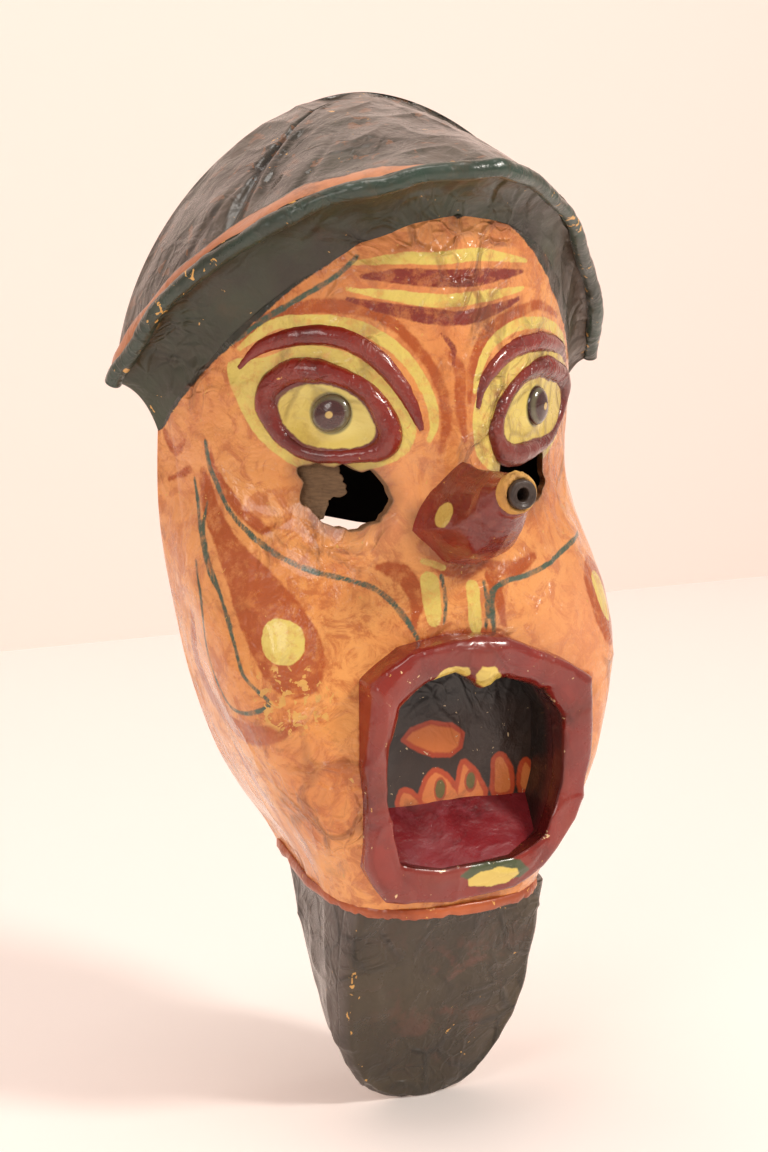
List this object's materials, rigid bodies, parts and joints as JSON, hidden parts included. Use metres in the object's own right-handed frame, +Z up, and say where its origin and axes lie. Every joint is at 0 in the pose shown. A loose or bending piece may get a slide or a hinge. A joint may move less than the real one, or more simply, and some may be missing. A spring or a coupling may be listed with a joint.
{
  "type": "carnival face mask",
  "caption": "Moulded papier-mache carnival face mask with a tipped-back brimmed hat, bulging eyes, a pipe-ended nose, a gaping box mouth and a hanging tongue-shaped beard, open at the back.",
  "frame": {"origin": "on the back rim plane, in the middle of the mask's width, at the height of the two sight holes, where the wearer's face comes in", "axes": "+Z up, -Y out of the front of the mask (the way it looks), +Y back to the wearer's head, +X to the wearer's left"},
  "size_m": [0.237, 0.142, 0.433],
  "materials": {
    "skin_paint": "lacquered",
    "green_paint": "lacquered",
    "band_paint": "lacquered",
    "maroon_paint": "lacquered",
    "yellow_paint": "lacquered",
    "pupil_paint": "lacquered",
    "mouth_black": "lacquered",
    "raw_card": "matte",
    "dark_tube": "matte",
    "ochre_paper": "matte"
  },
  "bodies": {
    "root": {"face_shell": "skin_paint", "hat_brim": "green_paint", "brim_roll": "green_paint", "hat_band": "band_paint", "hat_crown": "green_paint", "eye_rim_right": "maroon_paint", "eye_rim_left": "maroon_paint", "eye_white_right": "yellow_paint", "eye_white_left": "yellow_paint", "pupil_right": "pupil_paint", "pupil_left": "pupil_paint", "brow_right": "maroon_paint", "brow_left": "maroon_paint", "sight_flap": "raw_card", "nose_cone": "maroon_paint", "nose_tube": "dark_tube", "nose_collar": "ochre_paper", "lip_ring": "maroon_paint", "mouth_liner": "mouth_black", "mouth_back": "mouth_black", "mouth_floor": "maroon_paint", "chin_strip": "skin_paint", "beard_front": "green_paint", "beard_side_right": "green_paint", "beard_side_left": "green_paint"}
  },
  "joints": []
}
